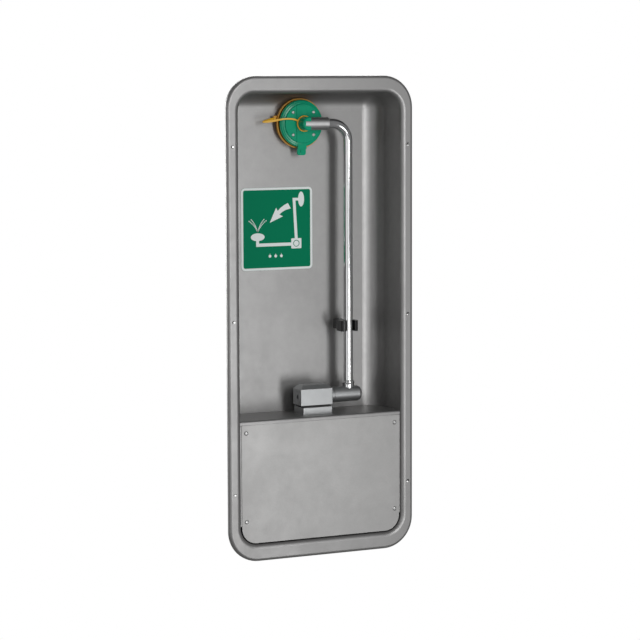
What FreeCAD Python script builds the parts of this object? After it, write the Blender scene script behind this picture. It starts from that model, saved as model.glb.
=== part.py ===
import FreeCAD, Part
import os
import Sketcher
from FreeCAD import Placement, Rotation, Vector
from math import pi

# Recessed swing-down eye and face wash station.
# +X is to the right of a person facing the station, +Y goes into the wall and +Z is up.
# The origin is the centre of the wall flange, in its front face. Lengths are in millimetres.

DIMENSIONS = (
    ("flange_width", 416, "wall flange, overall width"),
    ("flange_height", 980, "wall flange, overall height"),
    ("flange_corner", 65, "wall flange, corner radius"),
    ("flange_round", 6.5, "rolled outer edge of the flange"),
    ("lip_depth", 10, "return lip that stands on the wall"),
    ("sheet", 1.5, "stainless sheet thickness"),
    ("opening_width", 362, "recess opening, width"),
    ("opening_height", 910, "recess opening, height"),
    ("opening_corner", 36, "recess opening, corner radius"),
    ("entry_round", 9.5, "drawn edge from flange to recess wall"),
    ("recess_depth", 112, "flange face to the inner back wall"),
    ("back_round", 35, "drawn radius between back wall and side walls"),
    ("hole_span_x", 392, "flange holes, left to right"),
    ("hole_span_z", 700, "flange holes, top to bottom"),
    ("hole_radius", 3.25, "flange hole"),
    ("spacer_radius", 5, "sleeve behind each flange hole, outside"),
    ("spacer_bore", 4, "sleeve behind each flange hole, bore"),
    ("pipe_hole_radius", 20, "supply pipe hole in the recess floor"),
    ("weld_gap", 0.3, "gap between fitted sheets and the recess wall"),
    ("shelf_top", -202.6, "valve shelf, upper face"),
    ("shelf_front", 7.5, "valve shelf, front flange face"),
    ("shelf_drop", 32, "valve shelf, front flange height"),
    ("panel_half_width", 178, "access panel, half width"),
    ("panel_top", -211, "access panel, top edge"),
    ("panel_bottom", -453, "access panel, bottom edge"),
    ("panel_corner", 32, "access panel, bottom corner radius"),
    ("panel_screw_x", 168, "access panel screws, from the middle"),
    ("panel_screw_top", -226.5, "access panel screws, upper pair"),
    ("panel_screw_low", -408, "access panel screws, lower pair"),
    ("sign_width", 161, "instruction sign, width"),
    ("sign_height", 170, "instruction sign, height"),
    ("sign_x", -50, "instruction sign, centre"),
    ("sign_z", 177, "instruction sign, centre"),
    ("sign_thick", 0.5, "instruction sign, thickness"),
    ("axis_y", 57, "swing axis, depth behind the flange face"),
    ("axis_z", -167, "swing axis, height"),
    ("valve_x", 6, "ball and inlet centre"),
    ("valve_left", -30, "valve body, left face"),
    ("valve_right", 42, "valve body, right face"),
    ("valve_front", 40, "valve body, front face"),
    ("valve_back", 79, "valve body, back face"),
    ("valve_low", -184, "valve body, lower face"),
    ("valve_top", -143, "valve body, top face"),
    ("gasket_thick", 4, "gasket between valve body and base"),
    ("bolt_radius", 2.5, "clamping bolts of the valve"),
    ("cavity_radius", 12, "bore of the valve body for ball and plug"),
    ("cavity_end", 13, "end of that bore, from the ball centre"),
    ("seat_radius", 7.9, "inlet seat ring, outside"),
    ("plug_length", 14, "plug in the left face of the valve body"),
    ("ball_radius", 11, "valve ball"),
    ("port_radius", 5, "water way through the ball and its stem"),
    ("stem_radius", 8, "hollow drive stem"),
    ("running_gap", 0.05, "radial clearance of turning fits"),
    ("nose_radius", 16, "rotating valve nose"),
    ("nose_start", 48.3, "rotating nose, end next to the stop collar"),
    ("nose_end", 112, "rotating nose, free end"),
    ("stop_radius", 12, "stop pin, distance from the swing axis"),
    ("pin_radius", 1.5, "stop pin"),
    ("tube_x", 86, "upright leg of the swing tube"),
    ("tube_radius", 10, "swing tube, outside"),
    ("tube_wall", 1.5, "swing tube, wall"),
    ("bend_radius", 36, "swing tube, centre line bend"),
    ("tube_foot", 10, "tube end above the swing axis"),
    ("head_x", -5, "wash head centre"),
    ("head_z", 393, "wash head centre and upper tube leg"),
    ("collar_radius", 13, "metal adapter between tube and head"),
    ("collar_end", 45, "adapter, free end from the head centre"),
    ("hub_radius", 14, "hub on the back of the head"),
    ("hub_front", 45, "hub, front face"),
    ("face_y", 77, "back shell of the head, screwed face"),
    ("face_radius", 40, "back shell of the head, screwed face"),
    ("rim_y", 85.5, "back shell, rim face"),
    ("rim_back", 89.5, "back shell, joint face"),
    ("rim_radius", 48, "back shell, rim"),
    ("bowl_back", 95.5, "spray bowl, open edge"),
    ("bowl_radius", 45, "spray bowl, outside"),
    ("screw_circle", 32.5, "head screws, distance from the centre"),
    ("tab_width", 19, "finger tab"),
    ("tab_reach", 65, "finger tab, end below the head centre"),
    ("cover_radius", 51, "dust cover, outside"),
    ("cover_wall", 1.7, "dust cover, wall"),
    ("cover_front", 94, "dust cover, open edge"),
    ("cover_back", 109.5, "dust cover, back"),
    ("hinge_x", -58.5, "dust cover hinge"),
    ("hinge_y", 101, "dust cover hinge"),
    ("hinge_lift", 10, "tether strap above the head centre"),
    ("peg_radius", 1.25, "dust cover hinge peg"),
    ("clip_z", -25, "tube clip centre"),
    ("clip_tall", 22, "tube clip height"),
    ("clip_half", 19, "tube clip, half width"),
    ("clip_gap", 0.4, "tube clip, clearance round the tube"),
    ("clip_nut_radius", 4.5, "nut that holds the tube clip"),
    ("pipe_radius", 10.65, "half inch supply nipple, outside"),
    ("inlet_radius", 9.32, "half inch supply thread, minor radius"),
    ("inlet_depth", 13, "half inch supply thread, length"),
    ("nipple_low", -300, "supply nipple, lower end"),
    ("strainer_low", -345, "supply strainer, lower end"),
    ("strainer_radius", 17, "supply strainer, outside"),
)


class Size:
    """A length with the formula that gives it, so that one sum serves both number and expression."""

    def __init__(self, number, formula):
        self.number = number
        self.formula = formula

    @staticmethod
    def of(thing):
        return thing if isinstance(thing, Size) else Size(thing, f"({thing})")

    def __add__(self, other):
        other = Size.of(other)
        return Size(self.number + other.number, f"({self.formula} + {other.formula})")

    def __sub__(self, other):
        other = Size.of(other)
        return Size(self.number - other.number, f"({self.formula} - {other.formula})")

    def __mul__(self, factor):
        return Size(self.number * factor, f"({self.formula} * {factor})")

    def __truediv__(self, factor):
        return Size(self.number / factor, f"({self.formula} / {factor})")

    def __neg__(self):
        return Size(-self.number, f"(-{self.formula})")

    def __radd__(self, other):
        return Size.of(other) + self

    def __rsub__(self, other):
        return Size.of(other) - self


class Dims:
    """Holds one Size for each cell of the spreadsheet."""


doc = FreeCAD.newDocument("EyewashStation")
sheet = doc.addObject("Spreadsheet::Sheet", "Dims")
d = Dims()
for row, (alias, value, note) in enumerate(DIMENSIONS, start=1):
    sheet.set(f"A{row}", note)
    sheet.set(f"B{row}", str(value))
    sheet.setAlias(f"B{row}", alias)
    setattr(d, alias, Size(value, f"Dims.{alias}"))
doc.recompute()

# How far a cutter runs past the face that it opens.
PAST = 1
# Sketch plane and direction of its normal for each extrusion direction.
PLANES = {"x": ("YZ_Plane", 1), "y": ("XZ_Plane", -1), "z": ("XY_Plane", 1)}
nodes = []


# ---------------------------------------------------------------- tools of the trade

def bind(thing, path, size):
    thing.setExpression(path, Size.of(size).formula)


def new_body(label, at=(0, 0, 0), keep=True):
    """A body whose place is bound to the sheet. Kept bodies become nodes."""
    body = doc.addObject("PartDesign::Body", label)
    body.Label = label
    for axis, size in zip("xyz", at):
        bind(body, f"Placement.Base.{axis}", size)
    if keep:
        nodes.append(body)
    return body


def new_sketch(body, plane, offset=0, sign=1):
    origin_plane = next(f for f in body.Origin.OriginFeatures if f.Role == plane)
    sketch = body.newObject("Sketcher::SketchObject", "Sketch")
    sketch.AttachmentSupport = [(origin_plane, "")]
    sketch.MapMode = "FlatFace"
    bind(sketch, "AttachmentOffset.Base.z", Size.of(offset) * sign)
    return sketch


def pin_point(sketch, geometry, point, x, y):
    """Holds one point of a sketch at bound coordinates from the sketch origin."""
    for kind, size in (("DistanceX", x), ("DistanceY", y)):
        size = Size.of(size)
        index = sketch.addConstraint(Sketcher.Constraint(kind, -1, 1, geometry, point, size.number))
        sketch.setExpression(f"Constraints[{index}]", size.formula)


def polygon(*points):
    """A closed outline with straight sides."""
    def draw(sketch):
        corners = [Vector(Size.of(x).number, Size.of(y).number, 0) for x, y in points]
        first = sketch.GeometryCount
        count = len(corners)
        for i in range(count):
            sketch.addGeometry(Part.LineSegment(corners[i], corners[(i + 1) % count]), False)
        for i in range(count):
            nxt = first + (i + 1) % count
            sketch.addConstraint(Sketcher.Constraint("Coincident", first + i, 2, nxt, 1))
        for i, (x, y) in enumerate(points):
            pin_point(sketch, first + i, 1, x, y)
    return draw


def box_outline(left, right, low, high):
    return polygon((left, low), (right, low), (right, high), (left, high))


def circles(radius, *centres):
    """Equal circles at bound centres."""
    def draw(sketch):
        for x, y in centres:
            centre = Vector(Size.of(x).number, Size.of(y).number, 0)
            circle = Part.Circle(centre, Vector(0, 0, 1), Size.of(radius).number)
            index = sketch.addGeometry(circle, False)
            pin_point(sketch, index, 3, x, y)
            rule = Sketcher.Constraint("Radius", index, Size.of(radius).number)
            sketch.setExpression(f"Constraints[{sketch.addConstraint(rule)}]", Size.of(radius).formula)
    return draw


def rounded_outline(left, right, low, high, radius):
    """A rectangle with four equal round corners."""
    def draw(sketch):
        x0, x1, y0, y1, r = (Size.of(v).number for v in (left, right, low, high, radius))
        quarter = pi / 2
        sides = (
            ((x0 + r, y0), (x1 - r, y0)), ((x1, y0 + r), (x1, y1 - r)),
            ((x1 - r, y1), (x0 + r, y1)), ((x0, y1 - r), (x0, y0 + r)),
        )
        turns = (
            ((x1 - r, y0 + r), 3), ((x1 - r, y1 - r), 0), ((x0 + r, y1 - r), 1), ((x0 + r, y0 + r), 2),
        )
        first = sketch.GeometryCount
        for (start, end), (centre, turn) in zip(sides, turns):
            sketch.addGeometry(Part.LineSegment(Vector(*start, 0), Vector(*end, 0)), False)
            ring = Part.Circle(Vector(*centre, 0), Vector(0, 0, 1), r)
            arc = Part.ArcOfCircle(ring, turn * quarter, (turn + 1) * quarter)
            sketch.addGeometry(arc, False)
        for i in range(4):
            line, arc, following = first + 2 * i, first + 2 * i + 1, first + (2 * i + 2) % 8
            sketch.addConstraint(Sketcher.Constraint("Tangent", line, 2, arc, 1))
            sketch.addConstraint(Sketcher.Constraint("Tangent", arc, 2, following, 1))
        for i in (1, 3, 5):
            sketch.addConstraint(Sketcher.Constraint("Equal", first + i, first + i + 2))
        sketch.addConstraint(Sketcher.Constraint("Horizontal", first))
        sketch.addConstraint(Sketcher.Constraint("Vertical", first + 2))
        sketch.addConstraint(Sketcher.Constraint("Horizontal", first + 4))
        edges = ((first, "DistanceY", low), (first + 4, "DistanceY", high),
                 (first + 2, "DistanceX", right), (first + 6, "DistanceX", left))
        for line, kind, size in edges:
            size = Size.of(size)
            index = sketch.addConstraint(Sketcher.Constraint(kind, -1, 1, line, 1, size.number))
            sketch.setExpression(f"Constraints[{index}]", size.formula)
        rule = Sketcher.Constraint("Radius", first + 1, r)
        sketch.setExpression(f"Constraints[{sketch.addConstraint(rule)}]", Size.of(radius).formula)
    return draw


def together(*drawings):
    def draw(sketch):
        for drawing in drawings:
            drawing(sketch)
    return draw


def volume_of(body):
    doc.recompute()
    return body.Shape.Volume if body.Tip else 0.0


def add(body, along, start, end, draw):
    """Pads a drawing from start to end along +X, +Y or +Z."""
    plane, sign = PLANES[along]
    sketch = new_sketch(body, plane, start, sign)
    draw(sketch)
    before = volume_of(body)
    pad = body.newObject("PartDesign::Pad", "Pad")
    pad.Profile = sketch
    pad.Reversed = sign < 0
    bind(pad, "Length", Size.of(end) - start)
    if volume_of(body) <= before:
        raise RuntimeError(f"{body.Label}: a pad added nothing")
    return pad


def cut(body, along, start, end, draw):
    """Pockets a drawing from start to end along +X, +Y or +Z."""
    plane, sign = PLANES[along]
    sketch = new_sketch(body, plane, start, sign)
    draw(sketch)
    before = volume_of(body)
    pocket = body.newObject("PartDesign::Pocket", "Pocket")
    pocket.Profile = sketch
    pocket.Reversed = sign > 0
    bind(pocket, "Length", Size.of(end) - start)
    if volume_of(body) >= before:
        raise RuntimeError(f"{body.Label}: a pocket cut nothing")
    return pocket


def turned_sketch(body, along, outline):
    """Draws (along the axis, from the axis) points where a full turn about the axis makes the piece."""
    if along == "x":
        sketch = new_sketch(body, "XZ_Plane")
        polygon(*outline)(sketch)
        return sketch, "H_Axis"
    plane = "XY_Plane" if along == "y" else "XZ_Plane"
    sketch = new_sketch(body, plane)
    polygon(*[(radius, place) for place, radius in outline])(sketch)
    return sketch, "V_Axis"


def turn(body, along, *outline):
    sketch, axis = turned_sketch(body, along, outline)
    revolution = body.newObject("PartDesign::Revolution", "Revolution")
    revolution.Profile = sketch
    revolution.ReferenceAxis = (sketch, [axis])
    revolution.Angle = 360
    doc.recompute()
    return revolution


def turn_away(body, along, *outline):
    """A full-turn groove."""
    sketch, axis = turned_sketch(body, along, outline)
    before = volume_of(body)
    groove = body.newObject("PartDesign::Groove", "Groove")
    groove.Profile = sketch
    groove.ReferenceAxis = (sketch, [axis])
    groove.Angle = 360
    if volume_of(body) >= before:
        raise RuntimeError(f"{body.Label}: a groove cut nothing")
    return groove


def dress(body, kind, size, wanted):
    """Fillets or chamfers every edge of the tip that the test wanted accepts."""
    doc.recompute()
    tip = body.Tip
    edges = [f"Edge{i}" for i, edge in enumerate(tip.Shape.Edges, start=1) if wanted(edge)]
    if not edges:
        raise RuntimeError(f"{body.Label}: no edge to {kind}")
    feature = body.newObject(f"PartDesign::{kind}", kind)
    feature.Base = (tip, edges)
    bind(feature, "Radius" if kind == "Fillet" else "Size", size)
    doc.recompute()
    if feature.Shape.isNull() or not feature.Shape.isValid():
        raise RuntimeError(f"{body.Label}: the {kind} of {Size.of(size).number} failed")
    return feature


def subtract(body, tool):
    """Cuts one body out of another."""
    before = volume_of(body)
    boolean = body.newObject("PartDesign::Boolean", "Boolean")
    boolean.Type = "Cut"
    boolean.setObjects([tool])
    if volume_of(body) >= before:
        raise RuntimeError(f"{body.Label}: {tool.Label} cut nothing")
    return boolean


def near(a, b, slack=0.05):
    return abs(a - Size.of(b).number) < slack


def flat_at(axis, place):
    """Accepts edges that lie wholly in the plane axis = place."""
    low, high = axis.upper() + "Min", axis.upper() + "Max"

    def wanted(edge):
        box = edge.BoundBox
        return near(getattr(box, low), place) and near(getattr(box, high), place)
    return wanted


def within(half_x, half_z):
    """Accepts edges whose box stays inside a centred window in X and Z."""
    def wanted(edge):
        box = edge.BoundBox
        reach_x = max(abs(box.XMin), abs(box.XMax))
        reach_z = max(abs(box.ZMin), abs(box.ZMax))
        return reach_x < Size.of(half_x).number and reach_z < Size.of(half_z).number
    return wanted


def both(first, second):
    return lambda edge: first(edge) and second(edge)


def upright(edge):
    """Accepts straight edges along Z."""
    box = edge.BoundBox
    return box.XLength < 0.01 and box.YLength < 0.01 and box.ZLength > 0.5


def group(label, pieces):
    """Equal loose pieces that share one node."""
    compound = doc.addObject("Part::Compound", label)
    compound.Label = label
    compound.Links = pieces
    nodes.append(compound)
    return compound


# ---------------------------------------------------------------- cabinet

def cabinet_form():
    """The whole drawn cabinet. The nodes are cut from it."""
    half_w, half_h = d.flange_width / 2, d.flange_height / 2
    open_w, open_h = d.opening_width / 2, d.opening_height / 2
    back = d.recess_depth + d.sheet
    body = new_body("cabinet_form", keep=False)
    add(body, "y", 0, d.lip_depth, rounded_outline(-half_w, half_w, -half_h, half_h, d.flange_corner))
    wall_w, wall_h = open_w + d.sheet, open_h + d.sheet
    wall_outside = rounded_outline(-wall_w, wall_w, -wall_h, wall_h, d.opening_corner + d.sheet)
    add(body, "y", d.sheet, back, wall_outside)
    dress(body, "Fillet", d.back_round + d.sheet, flat_at("y", back))
    inner_w, inner_h = half_w - d.sheet, half_h - d.sheet
    lip_inside = rounded_outline(-inner_w, inner_w, -inner_h, inner_h, d.flange_corner - d.sheet)
    cut(body, "y", d.sheet, d.lip_depth, together(lip_inside, wall_outside))
    behind, near_recess = flat_at("y", d.sheet), within(wall_w + 0.1, wall_h + 0.1)
    dress(body, "Fillet", d.flange_round - d.sheet, lambda edge: behind(edge) and not near_recess(edge))
    dress(body, "Fillet", d.entry_round - d.sheet, both(behind, near_recess))
    dress(body, "Fillet", d.flange_round, flat_at("y", 0))
    hollow = new_body("recess_form", keep=False)
    add(hollow, "y", -5, d.recess_depth, rounded_outline(-open_w, open_w, -open_h, open_h, d.opening_corner))
    dress(hollow, "Fillet", d.back_round, flat_at("y", d.recess_depth))
    subtract(body, hollow)
    dress(body, "Fillet", d.entry_round, both(flat_at("y", 0), within(open_w + 0.1, open_h + 0.1)))
    x, z = d.hole_span_x / 2, d.hole_span_z / 2
    spots = [(side, level) for side in (-x, x) for level in (-z, 0, z)]
    cut(body, "y", 0, d.lip_depth, circles(d.hole_radius, *spots))
    floor = -open_h
    cut(body, "z", floor - 5, floor + 5, circles(d.pipe_hole_radius, (d.valve_x, d.axis_y)))
    return body


def portion(form, name, x, y, z):
    """The part of a form inside a box, given by its limits along X, Y and Z."""
    block = doc.addObject("Part::Box", f"{name}_limits")
    for side, axis, (low, high) in (("Length", "x", x), ("Width", "y", y), ("Height", "z", z)):
        bind(block, side, Size.of(high) - low)
        bind(block, f"Placement.Base.{axis}", low)
    piece = doc.addObject("Part::Common", name)
    piece.Label = name
    piece.Base, piece.Tool = form, block
    nodes.append(piece)


def cabinet():
    """One drawn sheet, divided at its bends: flange, four walls and back."""
    form = cabinet_form()
    far_x, far_z, far_y = d.flange_width, d.flange_height, d.recess_depth + 20
    bend_x, bend_z = d.opening_width / 2 - d.back_round, d.opening_height / 2 - d.opening_corner
    full_x, full_z = (-far_x, far_x), (-far_z, far_z)
    deep, middle = (d.lip_depth, far_y), (-bend_z, bend_z)
    portion(form, "wall_flange", full_x, (-5, d.lip_depth), full_z)
    portion(form, "recess_left_wall", (-far_x, -bend_x), deep, middle)
    portion(form, "recess_right_wall", (bend_x, far_x), deep, middle)
    portion(form, "recess_back", (-bend_x, bend_x), deep, middle)
    portion(form, "recess_top", full_x, deep, (bend_z, far_z))
    portion(form, "recess_floor", full_x, deep, (-far_z, -bend_z))


def flange_spacers():
    """Sleeves that carry the screw force from the flange to the wall."""
    pieces = []
    for side in (-1, 1):
        for level in (-1, 0, 1):
            place = (d.hole_span_x / 2 * side, 0, d.hole_span_z / 2 * level)
            sleeve = new_body("flange_spacer", place, keep=False)
            add(sleeve, "y", d.sheet, d.lip_depth, circles(d.spacer_radius, (0, 0)))
            cut(sleeve, "y", d.sheet - PAST, d.lip_depth + PAST, circles(d.spacer_bore, (0, 0)))
            pieces.append(sleeve)
    return group("flange_spacers", pieces)


def valve_shelf():
    """Shelf that carries the valve, with its front edge bent down behind the access panel."""
    reach = d.opening_width / 2 - d.weld_gap
    back = d.recess_depth - d.weld_gap
    front, top = d.shelf_front, d.shelf_top
    under, inside = top - d.sheet, front + d.sheet
    body = new_body("valve_shelf")
    section = polygon((front, top), (back, top), (back, under), (inside, under),
                      (inside, top - d.shelf_drop), (front, top - d.shelf_drop))
    add(body, "x", -reach, reach, section)
    dress(body, "Fillet", d.sheet + 2.5, both(flat_at("y", front), flat_at("z", top)))
    dress(body, "Fillet", 2.5, both(flat_at("y", inside), flat_at("z", under)))
    dress(body, "Fillet", d.back_round, both(flat_at("y", back), upright))
    bracket = d.panel_screw_x - 11
    for near_end, far_end in ((-reach - 1, -bracket), (bracket, reach + 1)):
        notch = box_outline(near_end, far_end, top - d.shelf_drop - 1, top - 8)
        cut(body, "y", front - PAST, inside + PAST, notch)
    cut(body, "z", under - PAST, top + PAST, circles(d.pipe_radius + 1.35, (d.valve_x, d.axis_y)))
    cut(body, "z", under - PAST, top + PAST, circles(d.bolt_radius + 0.3, *bolt_spots()))
    return body


def bolt_spots():
    """Four bolts that clamp shelf, base, gasket and valve body together from below."""
    return [(d.valve_x + side * 28, d.axis_y + depth) for side in (-1, 1) for depth in (-11, 14)]


def panel_bracket(name, side):
    """Welded angle that takes the access panel screws on one side."""
    wall = (d.opening_width / 2 - d.weld_gap) * side
    inner_wall = wall - d.sheet * side
    tip = (d.panel_screw_x - 9.5) * side
    front, inside, deep = d.shelf_front, d.shelf_front + d.sheet, d.shelf_front + 20
    body = new_body(name)
    angle = polygon((tip, front), (wall, front), (wall, deep), (inner_wall, deep),
                    (inner_wall, inside), (tip, inside))
    add(body, "z", d.panel_screw_low - 9, d.shelf_top - 9, angle)
    spots = [(d.panel_screw_x * side, level) for level in (d.panel_screw_top, d.panel_screw_low)]
    cut(body, "y", front - PAST, inside + PAST, circles(2.7, *spots))
    return body


def panel_screw_spots():
    return [(side, level) for side in (-d.panel_screw_x, d.panel_screw_x)
            for level in (d.panel_screw_top, d.panel_screw_low)]


def access_panel():
    half, back = d.panel_half_width, d.shelf_front
    front = back - d.sheet
    body = new_body("access_panel")
    add(body, "y", front, back, box_outline(-half, half, d.panel_bottom, d.panel_top))
    dress(body, "Fillet", d.panel_corner, lambda edge: edge.BoundBox.ZMax < d.panel_bottom.number + 0.1
          and edge.BoundBox.XLength < 0.1)
    cut(body, "y", front - PAST, back + PAST, circles(2.7, *panel_screw_spots()))
    return body


def panel_screws():
    """Round-head machine screws with a cross recess."""
    seat = d.shelf_front - d.sheet
    pieces = []
    for x, z in panel_screw_spots():
        screw = new_body("panel_screw", (x, seat, z), keep=False)
        turn(screw, "y", (-2.6, 0), (-2.4, 2.2), (-1.6, 3.7), (0, 4.6), (0, 2.4), (11, 2.4),
             (12, 1.4), (12, 0))
        for slot in ((-2.6, 2.6, -0.5, 0.5), (-0.5, 0.5, -2.6, 2.6)):
            cut(screw, "y", -3, -1.2, box_outline(*slot))
        pieces.append(screw)
    return group("panel_screws", pieces)


def panel_clip_nuts():
    """Spring clip nuts pushed on behind the brackets."""
    pieces = []
    for x, z in panel_screw_spots():
        nut = new_body("panel_clip_nut", (x, d.shelf_front + d.sheet, z), keep=False)
        leaf, tall, collar, thread = 1, 4, 4.2, 2.4
        add(nut, "y", 0, leaf, box_outline(-6.5, 6.5, -7, 7))
        add(nut, "y", leaf, tall, circles(collar, (0, 0)))
        cut(nut, "y", -PAST, tall + PAST, circles(thread, (0, 0)))
        pieces.append(nut)
    return group("panel_clip_nuts", pieces)


def instruction_sign():
    body = new_body("instruction_sign")
    wide, tall, corner = d.sign_width / 2, d.sign_height / 2, 9
    outline = rounded_outline(d.sign_x - wide, d.sign_x + wide, d.sign_z - tall, d.sign_z + tall, corner)
    add(body, "y", d.recess_depth - d.sign_thick, d.recess_depth, outline)
    return body


def tube_clip():
    """Moulded fork that parks the upright tube, on a post from the back wall."""
    body = new_body("tube_clip", (d.tube_x, d.axis_y, d.clip_z))
    tall, half = d.clip_tall / 2, d.clip_half
    slot, wall = d.tube_radius + d.clip_gap, d.recess_depth - d.axis_y
    add(body, "z", -tall, tall, box_outline(-half, half, -12, slot + 13))
    dress(body, "Fillet", 6, both(upright, lambda edge: edge.BoundBox.YMin < 0))
    dress(body, "Fillet", 9, both(upright, lambda edge: edge.BoundBox.YMin > 0))
    add(body, "y", slot + 12, wall, box_outline(-8, 8, 1 - tall, tall - 1))
    cut(body, "z", -tall - PAST, tall + PAST, circles(slot, (0, 0)))
    cut(body, "z", -tall - PAST, tall + PAST, box_outline(-slot, slot, -13, 0))
    cut(body, "y", slot - 2, slot + 5, circles(d.clip_nut_radius + 0.3, (0, 0)))
    cut(body, "y", slot, wall + PAST, circles(2.5, (0, 0)))
    return body


def clip_stud():
    """Stud welded to the back wall, which carries the clip."""
    body = new_body("clip_stud", (d.tube_x, d.axis_y, d.clip_z))
    slot = d.tube_radius + d.clip_gap
    turn(body, "y", (slot + 1.5, 0), (slot + 1.5, 2.5), (d.recess_depth - d.axis_y, 2.5),
         (d.recess_depth - d.axis_y, 0))
    return body


def clip_nut():
    body = new_body("clip_nut", (d.tube_x, d.axis_y, d.clip_z))
    floor = d.tube_radius + d.clip_gap + 5
    turn(body, "y", (floor - 3.5, 2.5), (floor - 3.5, 3.5), (floor - 2.7, d.clip_nut_radius),
         (floor, d.clip_nut_radius), (floor, 2.5))
    return body


# ---------------------------------------------------------------- valve, fixed side

def valve_base():
    body = new_body("valve_base")
    top = d.valve_low - d.gasket_thick
    outline = box_outline(d.valve_left + 3, d.valve_right - 2, d.valve_front - 4, d.valve_back + 3)
    add(body, "z", d.shelf_top, top, outline)
    dress(body, "Fillet", 2, upright)
    dress(body, "Fillet", 0.8, flat_at("z", top))
    cut(body, "z", d.shelf_top - PAST, top - 3, circles(d.pipe_radius, (d.valve_x, d.axis_y)))
    cut(body, "z", top - 4, top + PAST, circles(6, (d.valve_x, d.axis_y)))
    cut(body, "z", d.shelf_top - PAST, top + PAST, circles(d.bolt_radius, *bolt_spots()))
    return body


def base_gasket():
    body = new_body("base_gasket")
    outline = box_outline(d.valve_left + 5, d.valve_right - 4, d.valve_front + 2, d.valve_back - 2)
    add(body, "z", d.valve_low - d.gasket_thick, d.valve_low, outline)
    cut(body, "z", d.valve_low - 5, d.valve_low + PAST, circles(4.5, (d.valve_x, d.axis_y)))
    cut(body, "z", d.valve_low - 5, d.valve_low + PAST, circles(d.bolt_radius, *bolt_spots()))
    return body


def valve_body():
    """Block with hipped top edges, bored from the left for ball, stem and plug."""
    body = new_body("valve_body")
    block = box_outline(d.valve_left, d.valve_right, d.valve_front, d.valve_back)
    add(body, "z", d.valve_low, d.valve_top, block)
    dress(body, "Chamfer", 8, flat_at("z", d.valve_top))
    dress(body, "Fillet", 1, both(upright, lambda edge: edge.BoundBox.ZMin < d.valve_low.number + 1))
    centre = (d.axis_y, d.axis_z)
    cut(body, "x", d.valve_left - PAST, d.valve_x + d.cavity_end, circles(d.cavity_radius, centre))
    cut(body, "x", d.valve_x, d.valve_right + PAST, circles(d.stem_radius + d.running_gap, centre))
    cut(body, "z", d.valve_low - PAST, d.valve_low + 8, circles(d.seat_radius, (d.valve_x, d.axis_y)))
    cut(body, "z", d.valve_low - PAST, d.valve_low + 8, circles(d.bolt_radius, *bolt_spots()))
    return body


def valve_plug():
    """Plug that closes the bore on the left face, with a hexagon socket and a seal groove."""
    body = new_body("valve_plug", (d.valve_left, d.axis_y, d.axis_z))
    turn(body, "x", (0, 0), (0, d.cavity_radius - 0.8), (0.8, d.cavity_radius), (8, d.cavity_radius),
         (8, d.cavity_radius - 1.8), (10.4, d.cavity_radius - 1.8), (10.4, d.cavity_radius),
         (d.plug_length, d.cavity_radius), (d.plug_length, 0))
    flat, corner = 4.33, 2.5
    socket = polygon((-flat, -corner), (0, -5), (flat, -corner), (flat, corner), (0, 5), (-flat, corner))
    cut(body, "x", -PAST, 5, socket)
    return body


def seal_ring(name, along, at, inner, outer, width, keep=True):
    """O-ring drawn as an eight-sided section."""
    body = new_body(name, at, keep)
    middle, bevel = (outer - inner) / 2 + inner, (outer - inner) * 0.3
    turn(body, along, (-width / 2, middle - bevel / 2), (-width / 2, middle + bevel / 2),
         (-bevel / 2, outer), (bevel / 2, outer), (width / 2, middle + bevel / 2),
         (width / 2, middle - bevel / 2), (bevel / 2, inner), (-bevel / 2, inner))
    return body


def plug_seal():
    place = (d.valve_left + 9.2, d.axis_y, d.axis_z)
    return seal_ring("plug_seal", "x", place, d.cavity_radius - 1.7, d.cavity_radius - 0.05, 1.9)


def inlet_seat():
    """Seat ring between supply and ball, coned where the ball turns above it."""
    body = new_body("inlet_seat", (d.valve_x, d.axis_y, d.axis_z))
    foot = d.valve_low - d.axis_z
    turn(body, "z", (foot, 4.5), (foot, d.seat_radius), (-8.33, d.seat_radius), (-10.56, 4.5))
    return body


def thrust_washer():
    body = new_body("thrust_washer", (d.valve_x + d.cavity_end, d.axis_y, d.axis_z))
    turn(body, "x", (-1.5, d.stem_radius + 0.3), (-1.5, d.cavity_radius - 0.3), (0, d.cavity_radius - 0.3),
         (0, d.stem_radius + 0.3))
    return body


def stop_collar():
    """Fixed collar whose quarter-turn groove limits the swing."""
    body = new_body("stop_collar", (d.valve_right, d.axis_y, d.axis_z))
    thick = d.nose_start - d.valve_right - 0.3
    bore = d.stem_radius + d.running_gap
    turn(body, "x", (0, bore), (0, d.nose_radius), (thick - 0.6, d.nose_radius),
         (thick, d.nose_radius - 0.6), (thick, bore))
    half = d.pin_radius + 0.3
    section = ((2, d.stop_radius - half), (2, d.stop_radius + half),
               (thick + 1, d.stop_radius + half), (thick + 1, d.stop_radius - half))
    groove = turn_away(body, "x", *section)
    middle_of_swing = Rotation(Vector(1, 0, 0), 45)
    groove.Profile[0].AttachmentOffset = Placement(Vector(0, 0, 0), middle_of_swing)
    groove.Midplane = True
    groove.Angle = 108
    return body


def supply_nipple():
    body = new_body("supply_nipple", (d.valve_x, d.axis_y, 0))
    top = d.valve_low - d.gasket_thick - 3
    bore = d.pipe_radius - 2.6
    turn(body, "z", (d.nipple_low, bore), (d.nipple_low, d.pipe_radius - 0.8),
         (d.nipple_low + 1, d.pipe_radius), (top - 1, d.pipe_radius), (top, d.pipe_radius - 0.8), (top, bore))
    return body


def hexagon(across_flats, centre):
    """Six-sided outline with two flats parallel to Y."""
    flat, corner = across_flats / 2, across_flats * 0.57735026919
    x, y = centre
    return polygon((x - flat, y - corner / 2), (x, y - corner), (x + flat, y - corner / 2),
                   (x + flat, y + corner / 2), (x, y + corner), (x - flat, y + corner / 2))


def supply_lock_nut():
    body = new_body("supply_lock_nut")
    top, centre = d.shelf_top - d.sheet, (d.valve_x, d.axis_y)
    add(body, "z", top - 7, top, hexagon(Size.of(32), centre))
    cut(body, "z", top - 8, top + PAST, circles(d.pipe_radius, centre))
    return body


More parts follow.
